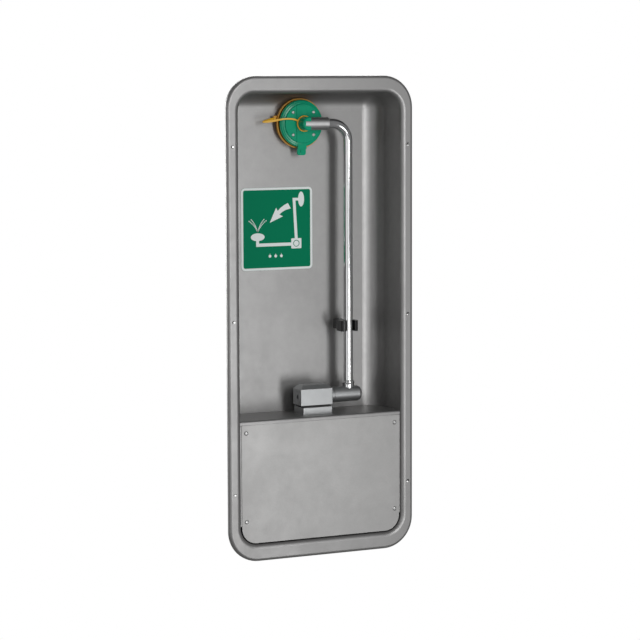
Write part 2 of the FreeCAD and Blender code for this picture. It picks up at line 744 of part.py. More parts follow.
def body_bolts():
    """Cap screws through the shelf, base and gasket into the valve body."""
    pieces = []
    seat = d.shelf_top - d.sheet
    for x, y in bolt_spots():
        bolt = new_body("body_bolt", (x, y, seat), keep=False)
        reach = d.valve_low + 8 - seat
        turn(bolt, "z", (-5, 0), (-5, 4.2), (0, 4.2), (0, d.bolt_radius), (reach, d.bolt_radius), (reach, 0))
        cut(bolt, "z", -6, -2.4, hexagon(Size.of(4), (Size.of(0), Size.of(0))))
        pieces.append(bolt)
    return group("body_bolts", pieces)


def strainer_body():
    """In-line strainer under the valve, with the female supply thread at its lower end."""
    body = new_body("strainer_body", (d.valve_x, d.axis_y, 0))
    low, radius = d.strainer_low, d.strainer_radius
    top = d.nipple_low + 11
    chamber, shoulder = low + d.inlet_depth, d.nipple_low - 2
    turn(body, "z", (low, d.inlet_radius), (low, radius - 1), (low + 1, radius), (top - 1, radius),
         (top, radius - 1), (top, d.pipe_radius), (d.nipple_low, d.pipe_radius), (d.nipple_low, 8),
         (shoulder, 8), (shoulder, 12), (chamber, 12), (chamber, d.inlet_radius))
    for left, right in ((-radius - 1, 2 - radius), (radius - 2, radius + 1)):
        cut(body, "z", low - PAST, low + 12, box_outline(left, right, -radius, radius))
    return body


def strainer_screen():
    body = new_body("strainer_screen", (d.valve_x, d.axis_y, 0))
    low, top = d.strainer_low + d.inlet_depth + 2, d.nipple_low - 2
    turn(body, "z", (low, 0), (low, 9), (top, 9), (top, 8.2), (low + 0.8, 8.2), (low + 0.8, 0))
    return body


def flow_regulator():
    """Disc that holds the flow steady, above the screen."""
    body = new_body("flow_regulator", (d.valve_x, d.axis_y, d.nipple_low))
    turn(body, "z", (-2, 2.5), (-2, 8), (0, 8), (0, 3.5))
    return body


# ---------------------------------------------------------------- swing arm

def ball_stem():
    """Ball and hollow stem in one piece. The side port faces the room when the arm is parked."""
    body = new_body("ball_stem", (d.valve_x, d.axis_y, d.axis_z))
    ball, bore = d.ball_radius, d.port_radius
    end = d.nose_start + 21 - d.valve_x
    sketch = new_sketch(body, "XZ_Plane")
    half_ball = Part.Circle(Vector(0, 0, 0), Vector(0, 0, 1), ball.number)
    arc = sketch.addGeometry(Part.ArcOfCircle(half_ball, 0, pi), False)
    line = sketch.addGeometry(Part.LineSegment(Vector(-ball.number, 0, 0), Vector(ball.number, 0, 0)), False)
    sketch.addConstraint(Sketcher.Constraint("Coincident", arc, 1, line, 2))
    sketch.addConstraint(Sketcher.Constraint("Coincident", arc, 2, line, 1))
    sketch.addConstraint(Sketcher.Constraint("PointOnObject", line, 1, -1))
    sketch.addConstraint(Sketcher.Constraint("PointOnObject", line, 2, -1))
    sketch.addConstraint(Sketcher.Constraint("Coincident", arc, 3, -1, 1))
    rule = Sketcher.Constraint("Radius", arc, ball.number)
    sketch.setExpression(f"Constraints[{sketch.addConstraint(rule)}]", ball.formula)
    sphere = body.newObject("PartDesign::Revolution", "Revolution")
    sphere.Profile = sketch
    sphere.ReferenceAxis = (sketch, ["H_Axis"])
    sphere.Angle = 360
    doc.recompute()
    add(body, "x", 8.3, d.cavity_end - 1.8, circles(ball - 0.5, (0, 0)))
    add(body, "x", 6, end, circles(d.stem_radius, (0, 0)))
    for place in ring_places():
        groove = ((place - 1.3, 6.1), (place - 1.3, 9), (place + 1.3, 9), (place + 1.3, 6.1))
        turn_away(body, "x", *groove)
    cut(body, "x", 0, end + PAST, circles(bore, (0, 0)))
    cut(body, "y", -ball - PAST, 0, circles(bore, (0, 0)))
    return body


def ring_places():
    """Seal grooves of the stem, from the ball centre."""
    return (Size.of(19), Size.of(28))


def stem_seals():
    pieces = [seal_ring("stem_seal", "x", (d.valve_x + place, d.axis_y, d.axis_z), Size.of(6.15),
                        d.stem_radius - 0.02, Size.of(1.9), keep=False) for place in ring_places()]
    return group("stem_seals", pieces)


def valve_nose():
    """Turning end of the valve that carries the swing tube."""
    body = new_body("valve_nose", (0, d.axis_y, d.axis_z))
    start, end, radius = d.nose_start, d.nose_end, d.nose_radius
    turn(body, "x", (start, d.stem_radius), (start, radius - 0.6), (start + 0.6, radius), (end - 6, radius),
         (end - 2.5, radius - 1.4), (end, radius - 5), (end, 9), (end - 9, 9), (end - 9, 6.5),
         (start + 21, 6.5), (start + 21, d.stem_radius))
    cut(body, "z", d.tube_foot, radius + PAST, circles(d.tube_radius, (d.tube_x, 0)))
    cut(body, "z", 0, d.tube_foot + PAST, circles(7.5, (d.tube_x, 0)))
    cut(body, "x", start - PAST, start + 8, circles(d.pin_radius, (0, d.stop_radius)))
    cut(body, "y", 5, radius + PAST, circles(2, (start + 14, 0)))
    return body


def nose_plug():
    """Screwed plug in the free end of the nose."""
    body = new_body("nose_plug", (d.nose_end, d.axis_y, d.axis_z))
    turn(body, "x", (-8, 0), (-8, 9), (-0.5, 9), (0, 8.5), (0, 0))
    add(body, "x", 0, 0.8, circles(8, (0, 0)))
    flat, corner = 3.03, 1.75
    socket = polygon((-flat, -corner), (0, -3.5), (flat, -corner), (flat, corner), (0, 3.5), (-flat, corner))
    cut(body, "x", -4, 1, socket)
    return body


def stop_pin():
    body = new_body("stop_pin", (d.nose_start, d.axis_y, d.axis_z + d.stop_radius))
    turn(body, "x", (-3.2, 0), (-3.2, d.pin_radius - 0.3), (-2.9, d.pin_radius), (8, d.pin_radius), (8, 0))
    return body


def nose_set_screw():
    """Locks the nose on the stem, from behind."""
    body = new_body("nose_set_screw", (d.nose_start + 14, d.axis_y, d.axis_z))
    turn(body, "y", (d.stem_radius, 0), (d.stem_radius, 2), (14.5, 2), (14.5, 0))
    return body


def tube_ferrule():
    """Crowned ferrule where the tube enters the nose."""
    body = new_body("tube_ferrule", (d.tube_x, d.axis_y, d.axis_z))
    low, bore = d.nose_radius - 1.5, d.tube_radius
    turn(body, "z", (low, bore), (low, bore + 2.2), (low + 6, bore + 2.2), (low + 9, bore + 3),
         (low + 12, bore + 2.2), (low + 14, bore + 0.8), (low + 14, bore))
    cut(body, "x", -20, 20, circles(d.nose_radius, (0, 0)))
    return body


def swing_tube():
    """Upright tube, one bend and a short leg along -X to the head."""
    body = new_body("swing_tube", (0, d.axis_y, 0))
    low, top = d.axis_z + d.tube_foot, d.head_z
    x, bend = d.tube_x, d.bend_radius
    leg_end = d.head_x + d.collar_end - 18
    spine = new_sketch(body, "XZ_Plane")
    upright_leg = spine.addGeometry(Part.LineSegment(
        Vector(x.number, low.number, 0), Vector(x.number, (top - bend).number, 0)), False)
    ring = Part.Circle(Vector((x - bend).number, (top - bend).number, 0), Vector(0, 0, 1), bend.number)
    corner = spine.addGeometry(Part.ArcOfCircle(ring, 0, pi / 2), False)
    level_leg = spine.addGeometry(Part.LineSegment(
        Vector((x - bend).number, top.number, 0), Vector(leg_end.number, top.number, 0)), False)
    spine.addConstraint(Sketcher.Constraint("Tangent", upright_leg, 2, corner, 1))
    spine.addConstraint(Sketcher.Constraint("Tangent", corner, 2, level_leg, 1))
    spine.addConstraint(Sketcher.Constraint("Vertical", upright_leg))
    pin_point(spine, upright_leg, 1, x, low)
    pin_point(spine, level_leg, 2, leg_end, top)
    rule = Sketcher.Constraint("Radius", corner, bend.number)
    spine.setExpression(f"Constraints[{spine.addConstraint(rule)}]", bend.formula)
    section = new_sketch(body, "XY_Plane", low)
    circles(d.tube_radius, (x, 0))(section)
    circles(d.tube_radius - d.tube_wall, (x, 0))(section)
    doc.recompute()
    pipe = body.newObject("PartDesign::AdditivePipe", "Pipe")
    pipe.Profile = section
    pipe.Spine = spine
    doc.recompute()
    return body


def head_adapter():
    """Plain metal sleeve from the tube into the hub, closed at its end, with one side port to the head."""
    body = new_body("head_adapter", (d.head_x, d.axis_y, d.head_z))
    radius, end = d.collar_radius, d.collar_end
    turn(body, "x", (-9, 0), (-9, radius), (end - 1, radius), (end, radius - 1), (end, d.tube_radius),
         (end - 18, d.tube_radius), (end - 18, 7), (-6, 7), (-6, 0))
    cut(body, "y", 0, radius + PAST, circles(5.5, (0, 0)))
    return body


def head_back():
    """Back shell of the wash head: hub, screwed face, finger rib and tab."""
    body = new_body("head_back", (d.head_x, 0, d.head_z))
    face, rim, joint = d.face_y, d.rim_y, d.rim_back
    cavity = face + 4
    turn(body, "y", (d.hub_front, 0), (d.hub_front, d.hub_radius - 2), (d.hub_front + 2, d.hub_radius),
         (face - 2, d.hub_radius), (face, d.hub_radius + 2), (face, d.face_radius - 1),
         (face + 1, d.face_radius), (face + 3.6, d.face_radius + 0.3), (face + 4.2, d.face_radius + 3.2),
         (face + 6.2, d.face_radius + 3.5), (face + 6.8, d.face_radius + 6), (rim + 0.6, d.rim_radius - 1.2),
         (rim + 1.6, d.rim_radius), (joint, d.rim_radius), (joint, 26), (cavity, 24), (cavity, 0))
    add(body, "y", face - 1.6, face + 1, box_outline(-15, 4, -38, 36))
    tab = d.tab_width / 2
    add(body, "y", face + 5, joint, box_outline(-tab, tab, -52, -40))
    add(body, "y", rim, joint, box_outline(-tab, tab, -d.tab_reach, -50))
    dress(body, "Fillet", 5, lambda edge: edge.BoundBox.ZMax < 0.1 - d.tab_reach.number
          and edge.BoundBox.XLength < 0.1 and edge.BoundBox.YLength > 1)
    add(body, "y", rim - 2, rim + 1, circles(3.5, (0, -d.tab_reach + 7)))
    cut(body, "x", -9, 30, circles(d.collar_radius, (d.axis_y, 0)))
    cut(body, "y", d.hub_front - PAST, d.axis_y, box_outline(3, 20, -20, 20))
    cut(body, "y", d.axis_y, cavity + PAST, circles(5.5, (0, 0)))
    cut(body, "y", face - 3, joint + PAST, circles(2, *head_screw_spots()))
    return body


def head_screw_spots():
    reach = d.screw_circle * 0.70710678
    return [(x, z) for x in (-reach, reach) for z in (-reach, reach)]


def head_screws():
    pieces = []
    for x, z in head_screw_spots():
        screw = new_body("head_screw", (d.head_x + x, d.face_y, d.head_z + z), keep=False)
        turn(screw, "y", (-2.2, 0), (-2, 2), (-1.2, 3.2), (0, 3.6), (0, 2), (16, 2), (16, 0))
        cut(screw, "y", -3, -1.2, box_outline(-2.2, 2.2, -0.45, 0.45))
        cut(screw, "y", -3, -1.2, box_outline(-0.45, 0.45, -2.2, 2.2))
        pieces.append(screw)
    return group("head_screws", pieces)


def head_gasket():
    body = new_body("head_gasket", (d.head_x, 0, d.head_z))
    turn(body, "y", (d.rim_back, 26), (d.rim_back, d.bowl_radius - 1), (d.rim_back + 1, d.bowl_radius - 1),
         (d.rim_back + 1, 26))
    cut(body, "y", d.rim_back - PAST, d.rim_back + 2, circles(2, *head_screw_spots()))
    return body


def head_bowl():
    """Front shell that holds the spray plate and the flow disc."""
    body = new_body("head_bowl", (d.head_x, 0, d.head_z))
    low, high, radius = d.rim_back + 1, d.bowl_back, d.bowl_radius
    turn(body, "y", (low, 20), (low, radius - 1), (low + 1, radius), (high - 1, radius), (high, radius - 1),
         (high, radius - 4), (low + 3, radius - 4), (low + 3, 20))
    cut(body, "y", low - PAST, low + 4, circles(2, *head_screw_spots()))
    return body


def flow_disc():
    """Perforated disc that spreads the flow behind the spray plate."""
    body = new_body("flow_disc", (d.head_x, 0, d.head_z))
    low = d.rim_back + 1
    add(body, "y", low, low + 3, circles(20, (0, 0)))
    cut(body, "y", low - PAST, low + 4, circles(1.6, *ring_of_places(12, 6)))
    return body


def ring_of_places(radius, count, turned=0.0):
    """Evenly spaced places on a circle."""
    places = []
    for i in range(count):
        spot = Rotation(Vector(0, 0, 1), 360 * i / count + turned).multVec(Vector(radius, 0, 0))
        places.append((Size.of(round(spot.x, 4)), Size.of(round(spot.y, 4))))
    return places


def spray_plate():
    """Front plate with two rings of spray holes and a middle dish."""
    body = new_body("spray_plate", (d.head_x, 0, d.head_z))
    low = d.rim_back + 4
    radius = d.bowl_radius - 4
    turn(body, "y", (low, 0), (low, radius), (low + 1.2, radius), (low + 1.7, radius - 1), (low + 1.7, 8),
         (low + 1, 6), (low + 1, 0))
    for reach, count in ((13, 8), (27, 16)):
        cut(body, "y", low - PAST, low + 3, circles(1.1, *ring_of_places(reach, count, 180 / count)))
    return body


def tether_strap():
    """Moulded strap: loop round the hub, band across the head, fold at its side, eye on the cover."""
    body = new_body("tether_strap", (0, 0, d.head_z))
    hub = (d.head_x, 0)
    add(body, "y", 70.6, 73.4, circles(d.hub_radius + 3, hub))
    cut(body, "y", 70, 74, circles(d.hub_radius + 0.2, hub))
    low, high = d.hinge_lift - 2, d.hinge_lift + 2
    band = polygon((-17.4, 71.3), (-58, 73.2), (-86, 79.6), (-93, 83), (-61, 102.2), (-59.6, 100.8),
                   (-88.6, 83.3), (-84.6, 81.6), (-58, 75), (-17.4, 72.9))
    add(body, "z", low, high, band)
    add(body, "z", low, high, circles(2.6, (d.hinge_x, d.hinge_y)))
    cut(body, "z", low - PAST, high + PAST, circles(d.peg_radius + 0.08, (d.hinge_x, d.hinge_y)))
    return body


# ---------------------------------------------------------------- dust cover

def dust_cover():
    """Domed cap over the spray side, with two hinge ears at its left edge."""
    body = new_body("dust_cover", (0, 0, d.head_z))
    radius, wall, front, back = d.cover_radius, d.cover_wall, d.cover_front, d.cover_back
    lift = d.hinge_lift
    outline = ((front, radius - wall), (front, radius), (back - 9, radius), (back - 5.4, radius - 3.2),
               (back - 2.2, radius - 8.6), (back, radius - 15), (back, 0), (back - wall, 0),
               (back - wall, radius - 15.6), (back - 3.6, radius - 9.8), (back - 6.6, radius - 4.8),
               (back - 9.6, radius - wall))
    shell = [(d.head_x + reach, place) for place, reach in outline]
    sketch = new_sketch(body, "XY_Plane")
    polygon(*shell)(sketch)
    foot, tip = Vector(d.head_x.number, 0, 0), Vector(d.head_x.number, 9, 0)
    axle = sketch.addGeometry(Part.LineSegment(foot, tip), True)
    pin_point(sketch, axle, 1, d.head_x, 0)
    pin_point(sketch, axle, 2, d.head_x, 9)
    revolution = body.newObject("PartDesign::Revolution", "Revolution")
    revolution.Profile = sketch
    revolution.ReferenceAxis = (sketch, ["Axis0"])
    revolution.Angle = 360
    doc.recompute()
    ear = box_outline(d.hinge_x - 3.2, d.head_x - d.cover_radius + 3.6, d.hinge_y - 2.6, d.hinge_y + 2.6)
    for low, high in ((lift - 6, lift - 2.3), (lift + 2.3, lift + 6)):
        add(body, "z", low, high, ear)
        cut(body, "z", low - 0.1, high + 0.1, circles(d.peg_radius, (d.hinge_x, d.hinge_y)))
    return body


def cover_peg():
    """Pin that joins the strap's eye to the two ears."""
    body = new_body("cover_peg", (0, 0, d.head_z))
    lift = d.hinge_lift
    add(body, "z", lift - 6, lift + 6, circles(d.peg_radius, (d.hinge_x, d.hinge_y)))
    return body


# ---------------------------------------------------------------- make, check and write

BUILDERS = (
    cabinet, flange_spacers, valve_shelf,
    lambda: panel_bracket("panel_bracket_left", -1), lambda: panel_bracket("panel_bracket_right", 1),
    access_panel, panel_screws, panel_clip_nuts, instruction_sign, tube_clip, clip_stud, clip_nut,
    valve_base, base_gasket, valve_body, valve_plug, plug_seal, inlet_seat, thrust_washer, stop_collar,
    supply_nipple, supply_lock_nut, body_bolts, strainer_body, strainer_screen, flow_regulator,
    ball_stem, stem_seals, valve_nose, nose_plug, stop_pin, nose_set_screw, tube_ferrule, swing_tube,
    head_adapter, head_back, head_screws, head_gasket, head_bowl, flow_disc, spray_plate, tether_strap,
    dust_cover, cover_peg,
)

for builder in BUILDERS:
    builder()
doc.recompute()

for thing in doc.Objects:
    if {"Invalid", "Error"} & set(thing.State):
        raise RuntimeError(f"{thing.Label} did not build: {thing.State}")
for node in nodes:
    if node.Shape.isNull() or not node.Shape.isValid():
        raise RuntimeError(f"{node.Label} has no valid shape")

os.makedirs("parts", exist_ok=True)
for node in nodes:
    node.Shape.exportStep(f"parts/{node.Label}.step")
    print(f"{node.Label}: {node.Shape.Volume:.0f} mm3, {len(node.Shape.Solids)} solid(s)")
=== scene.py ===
import math

import bmesh
import bpy
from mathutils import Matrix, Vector


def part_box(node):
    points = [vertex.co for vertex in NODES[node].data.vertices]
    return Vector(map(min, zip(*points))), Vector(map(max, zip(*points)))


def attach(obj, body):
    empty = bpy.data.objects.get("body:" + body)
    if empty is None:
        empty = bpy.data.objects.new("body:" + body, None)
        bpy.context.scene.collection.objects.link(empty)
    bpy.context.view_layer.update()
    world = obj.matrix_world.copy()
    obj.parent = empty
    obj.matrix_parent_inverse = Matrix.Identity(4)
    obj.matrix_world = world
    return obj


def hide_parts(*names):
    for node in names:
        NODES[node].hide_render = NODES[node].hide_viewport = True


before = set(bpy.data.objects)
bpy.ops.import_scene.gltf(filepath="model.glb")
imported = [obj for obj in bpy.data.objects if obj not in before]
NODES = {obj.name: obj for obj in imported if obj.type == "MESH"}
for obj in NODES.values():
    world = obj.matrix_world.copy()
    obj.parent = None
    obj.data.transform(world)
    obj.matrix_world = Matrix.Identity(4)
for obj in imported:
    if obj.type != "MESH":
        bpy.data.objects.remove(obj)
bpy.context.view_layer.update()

MM = 0.001


def box_of(node):
    """Lowest and highest corner of a CAD node, in millimetres: +X right, +Y into the wall, +Z up."""
    low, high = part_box(node)
    return Vector(low) / MM, Vector(high) / MM


def middle_of(node):
    low, high = box_of(node)
    return (low + high) / 2


# ---------------------------------------------------------------- mesh tools

def mm(x, y, z):
    return Vector((x, y, z)) * MM


def keep_piece(name, bm, body, finish, smooth=35, bevel=None, instead_of=()):
    """Turns a finished bmesh into an object that rides on a body."""
    bmesh.ops.remove_doubles(bm, verts=bm.verts, dist=0.002 * MM)
    bmesh.ops.recalc_face_normals(bm, faces=bm.faces)
    mesh = bpy.data.meshes.new(name)
    bm.to_mesh(mesh)
    bm.free()
    piece = bpy.data.objects.new(name, mesh)
    bpy.context.scene.collection.objects.link(piece)
    mesh.materials.append(finish)
    mesh.set_sharp_from_angle(angle=math.radians(smooth))
    for face in mesh.polygons:
        face.use_smooth = True
    if bevel:
        width, segments = bevel
        edges = piece.modifiers.new("rounded edges", "BEVEL")
        edges.width, edges.segments = width * MM, segments
        edges.limit_method, edges.angle_limit = "ANGLE", math.radians(30)
        edges.harden_normals = True
    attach(piece, body)
    if instead_of:
        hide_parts(*instead_of)


AXES = {"y": (Vector((0, 1, 0)), Vector((1, 0, 0))), "z": (Vector((0, 0, 1)), Vector((1, 0, 0)))}


def turn_ring(bm, outline, axis, centre, steps):
    """Spins a closed outline of (along the axis, from the axis) points a full turn about Y or Z."""
    along, out = AXES[axis]
    centre = mm(*centre)
    verts = [bm.verts.new(centre + (along * a + out * r) * MM) for a, r in outline]
    edges = [bm.edges.new((verts[k], verts[(k + 1) % len(verts)])) for k in range(len(verts))]
    bmesh.ops.spin(bm, geom=verts + edges, cent=centre, axis=along, angle=2 * math.pi,
                   steps=steps, use_merge=True, use_duplicate=False)
    bmesh.ops.remove_doubles(bm, verts=bm.verts, dist=0.001 * MM)


def thicken(bm, faces, depth):
    """Pulls flat faces along Y into a slab."""
    grown = bmesh.ops.extrude_face_region(bm, geom=faces)["geom"]
    moved = [part for part in grown if isinstance(part, bmesh.types.BMVert)]
    bmesh.ops.translate(bm, verts=moved, vec=mm(0, depth, 0))


def plate(bm, corners, low, high):
    """Flat plate parallel to the wall: corners are (x, z), its faces lie at y = low and y = high."""
    face = bm.faces.new([bm.verts.new(mm(x, low, z)) for x, z in corners])
    thicken(bm, [face], high - low)


def flat_ring(bm, outer, inner, y):
    """Flat ring parallel to the wall, between two outlines of (x, z) corners."""
    edges = []
    for corners in (outer, inner):
        verts = [bm.verts.new(mm(x, y, z)) for x, z in corners]
        edges += [bm.edges.new((verts[k], verts[(k + 1) % len(verts)])) for k in range(len(verts))]
    bmesh.ops.bridge_loops(bm, edges=edges)


def round_corners(x, z, wide, tall, radius, steps=8):
    """Corner points of a rectangle with round corners."""
    points = []
    for quarter, (cx, cz) in enumerate(((1, 1), (-1, 1), (-1, -1), (1, -1))):
        for step in range(steps + 1):
            angle = math.pi / 2 * (quarter + step / steps)
            points.append((x + cx * (wide / 2 - radius) + radius * math.cos(angle),
                           z + cz * (tall / 2 - radius) + radius * math.sin(angle)))
    return points


def oval(x, z, wide, tall, lean=0, steps=32):
    """Corner points of an ellipse, leant over by an angle."""
    points = []
    for step in range(steps):
        angle = 2 * math.pi * step / steps
        a, b = wide / 2 * math.cos(angle), tall / 2 * math.sin(angle)
        points.append((x + a * math.cos(lean) - b * math.sin(lean),
                       z + a * math.sin(lean) + b * math.cos(lean)))
    return points


def water_drop(x, z, radius=3.1, tip=6.0, steps=24):
    """Corner points of a drop: a tip above a round foot, narrower at its shoulders."""
    shoulder, narrowing = 2.2, 0.72
    points = [(x, z + tip)]
    for step in range(1, steps):
        angle = math.pi * (2 * step / steps - 1)
        across = 1 if abs(angle) < shoulder else narrowing
        points.append((x + radius * across * math.sin(angle), z - radius * math.cos(angle)))
    return points


def ribbon(bm, path):
    """Strap drawn as a flat section pulled along a path of (x, y, z, height, thickness) stations."""
    spots = [Vector(station[:3]) for station in path]
    ring = None
    for i, (spot, (*_, height, thickness)) in enumerate(zip(spots, path)):
        ahead = (spots[min(i + 1, len(spots) - 1)] - spots[max(i - 1, 0)]).normalized()
        side = ahead.cross(Vector((0, 0, 1))).normalized() * thickness / 2
        lift = Vector((0, 0, height / 2))
        corners = [spot + side + lift, spot - side + lift, spot - side - lift, spot + side - lift]
        if ring is None:
            ring = [bm.verts.new(corner * MM) for corner in corners]
            bm.faces.new(ring)
        else:
            edges = [bm.edges.get((ring[k], ring[(k + 1) % 4])) for k in range(4)]
            grown = bmesh.ops.extrude_edge_only(bm, edges=edges)["geom"]
            new = {part for part in grown if isinstance(part, bmesh.types.BMVert)}
            ring = [next(edge.other_vert(old) for edge in old.link_edges if edge.other_vert(old) in new)
                    for old in ring]
            for vert, corner in zip(ring, corners):
                vert.co = corner * MM
    bm.faces.new(ring)


# ---------------------------------------------------------------- shader tools

def feed(tree, slot, value):
    """Links a socket to a slot, or sets the slot to a number or colour."""
    if isinstance(value, bpy.types.NodeSocket):
        tree.links.new(value, slot)
    else:
        slot.default_value = value


def socket(tree, name, way, kind="NodeSocketFloat", value=None):
    made = tree.interface.new_socket(name=name, in_out=way, socket_type=kind)
    if value is not None:
        made.default_value = value


def math_node(tree, operation, a, b, clamp=False):
    node = tree.nodes.new("ShaderNodeMath")
    node.operation, node.use_clamp = operation, clamp
    feed(tree, node.inputs[0], a)
    feed(tree, node.inputs[1], b)
    return node.outputs[0]


def noise(tree, place, scale, detail, rough):
    node = tree.nodes.new("ShaderNodeTexNoise")
    feed(tree, node.inputs["Vector"], place)
    feed(tree, node.inputs["Scale"], scale)
    feed(tree, node.inputs["Detail"], detail)
    feed(tree, node.inputs["Roughness"], rough)
    return node.outputs[0]


def spread(tree, value, low, high):
    """Stretches the range from low to high over 0 to 1."""
    node = tree.nodes.new("ShaderNodeMapRange")
    feed(tree, node.inputs["Value"], value)
    feed(tree, node.inputs["From Min"], low)
    feed(tree, node.inputs["From Max"], high)
    return node.outputs[0]


def mix_colour(tree, share, a, b):
    """Colour a turning into colour b as the share goes from 0 to 1."""
    node = tree.nodes.new("ShaderNodeMix")
    node.data_type = "RGBA"
    feed(tree, node.inputs[0], share)
    for slot, value in ((node.inputs[6], a), (node.inputs[7], b)):
        feed(tree, slot, value if isinstance(value, bpy.types.NodeSocket) else (*value, 1))
    return node.outputs[2]


# ---------------------------------------------------------------- shared effects

def surface_grain():
    """Fine blasted or moulded grain with larger handling marks. Gives a grain value, marks and a height."""
    tree = bpy.data.node_groups.new("surface grain", "ShaderNodeTree")
    socket(tree, "Grains per metre", "INPUT", value=900)
    socket(tree, "Stretch", "INPUT", "NodeSocketVector", (1, 1, 1))
    socket(tree, "Grain", "OUTPUT")
    socket(tree, "Marks", "OUTPUT")
    socket(tree, "Height", "OUTPUT")
    given, result = tree.nodes.new("NodeGroupInput"), tree.nodes.new("NodeGroupOutput")
    place = tree.nodes.new("ShaderNodeTexCoord").outputs["Object"]
    stretched = tree.nodes.new("ShaderNodeVectorMath")
    stretched.operation = "MULTIPLY"
    tree.links.new(place, stretched.inputs[0])
    tree.links.new(given.outputs["Stretch"], stretched.inputs[1])
    fine = noise(tree, stretched.outputs[0], given.outputs["Grains per metre"], 4, 0.6)
    # Clouds about 110 mm across and rub marks about 18 mm across.
    cloud = noise(tree, place, 9, 4, 0.6)
    rub = noise(tree, place, 55, 5, 0.65)
    mottle = math_node(tree, "ADD", math_node(tree, "MULTIPLY", cloud, 0.6),
                       math_node(tree, "MULTIPLY", rub, 0.4))
    height = math_node(tree, "ADD", fine, math_node(tree, "MULTIPLY", rub, 0.25))
    tree.links.new(spread(tree, fine, 0.3, 0.7), result.inputs["Grain"])
    tree.links.new(spread(tree, mottle, 0.38, 0.62), result.inputs["Marks"])
    tree.links.new(height, result.inputs["Height"])
    return tree


def edge_wear():
    """Mask of rubbed outer edges, broken up by a noise."""
    tree = bpy.data.node_groups.new("edge wear", "ShaderNodeTree")
    socket(tree, "Reach", "INPUT", value=0.0006)
    socket(tree, "Amount", "INPUT", value=0.5)
    socket(tree, "Mask", "OUTPUT")
    given, result = tree.nodes.new("NodeGroupInput"), tree.nodes.new("NodeGroupOutput")
    soft = tree.nodes.new("ShaderNodeBevel")
    soft.samples = 4
    tree.links.new(given.outputs["Reach"], soft.inputs["Radius"])
    agree = tree.nodes.new("ShaderNodeVectorMath")
    agree.operation = "DOT_PRODUCT"
    tree.links.new(soft.outputs[0], agree.inputs[0])
    tree.links.new(tree.nodes.new("ShaderNodeNewGeometry").outputs["Normal"], agree.inputs[1])
    edge = spread(tree, agree.outputs["Value"], 0.995, 0.9)
    place = tree.nodes.new("ShaderNodeTexCoord").outputs["Object"]
    broken = spread(tree, noise(tree, place, 260, 5, 0.7), 0.42, 0.6)
    rubbed = math_node(tree, "MULTIPLY", edge, broken)
    worn = math_node(tree, "MULTIPLY", rubbed, given.outputs["Amount"], True)
    tree.links.new(worn, result.inputs["Mask"])
    return tree


GRAIN, WEAR = surface_grain(), edge_wear()


# ---------------------------------------------------------------- finishes

DUSTY = 0.86            # shade of a handling mark against the darker colour
MARK_SHARE = 4          # how much more a mark changes the colour than the gloss
GRAIN_GLOSS = 0.05      # how much the grain roughens the surface
RELIEF_DEPTH = 0.0002   # depth of the grain's relief, in metres


def finish(name, dark, light, rough, metallic, grains, bump, stretch=(1, 1, 1), worn=None, wear=0.5,
           reach=0.0006, marks=0.06, specular=0.5):
    """A finish with grain between two colours, handling marks in its gloss and rubbed edges."""
    made = bpy.data.materials.new(name)
    made.use_nodes = True
    tree = made.node_tree
    shader = tree.nodes["Principled BSDF"]
    shader.inputs["Metallic"].default_value = metallic
    shader.inputs["Specular IOR Level"].default_value = specular
    grain = tree.nodes.new("ShaderNodeGroup")
    grain.node_tree = GRAIN
    grain.inputs["Grains per metre"].default_value = grains
    grain.inputs["Stretch"].default_value = stretch
    colour = mix_colour(tree, grain.outputs["Grain"], dark, light)
    marked = math_node(tree, "MULTIPLY", grain.outputs["Marks"], marks * MARK_SHARE, True)
    colour = mix_colour(tree, marked, colour, [part * DUSTY for part in dark])
    roughness = math_node(tree, "ADD", math_node(tree, "MULTIPLY", grain.outputs["Marks"], marks),
                          math_node(tree, "MULTIPLY", grain.outputs["Grain"], GRAIN_GLOSS))
    roughness = math_node(tree, "ADD", roughness, rough, True)
    if worn:
        edge = tree.nodes.new("ShaderNodeGroup")
        edge.node_tree = WEAR
        edge.inputs["Amount"].default_value = wear
        edge.inputs["Reach"].default_value = reach
        colour = mix_colour(tree, edge.outputs["Mask"], colour, worn)
    tree.links.new(colour, shader.inputs["Base Color"])
    tree.links.new(roughness, shader.inputs["Roughness"])
    relief = tree.nodes.new("ShaderNodeBump")
    relief.inputs["Strength"].default_value = bump
    relief.inputs["Distance"].default_value = RELIEF_DEPTH
    tree.links.new(grain.outputs["Height"], relief.inputs["Height"])
    tree.links.new(relief.outputs[0], shader.inputs["Normal"])
    return made


cabinet_sheet = finish("satin stainless sheet", (0.330, 0.327, 0.325), (0.390, 0.387, 0.385), 0.38, 0.9,
                       1400, bump=0.10, worn=(0.55, 0.545, 0.54), wear=0.5, reach=0.0012, marks=0.07)
panel_sheet = finish("satin panel sheet", (0.405, 0.402, 0.398), (0.465, 0.462, 0.458), 0.44, 0.9, 1400,
                     stretch=(0.35, 1, 1), bump=0.08, worn=(0.66, 0.655, 0.65), wear=0.6, reach=0.0008,
                     marks=0.06)
valve_metal = finish("satin plated valve metal", (0.40, 0.41, 0.415), (0.48, 0.49, 0.495), 0.30, 0.95,
                     2200, bump=0.10, worn=(0.75, 0.75, 0.75), wear=0.7, reach=0.0007, marks=0.08)
adapter_metal = finish("brushed adapter metal", (0.50, 0.50, 0.50), (0.62, 0.62, 0.62), 0.34, 1.0, 2600,
                       stretch=(0.2, 1, 1), bump=0.12, worn=(0.8, 0.8, 0.8), wear=0.6, reach=0.0007,
                       marks=0.08)
tube_plating = finish("polished tube plating", (0.74, 0.745, 0.75), (0.80, 0.805, 0.81), 0.07, 1.0, 900,
                      stretch=(1, 1, 0.1), bump=0.02, marks=0.05)
screw_metal = finish("zinc plated screws", (0.55, 0.55, 0.55), (0.68, 0.68, 0.67), 0.28, 1.0, 3000,
                     bump=0.10, worn=(0.85, 0.85, 0.85), marks=0.1)
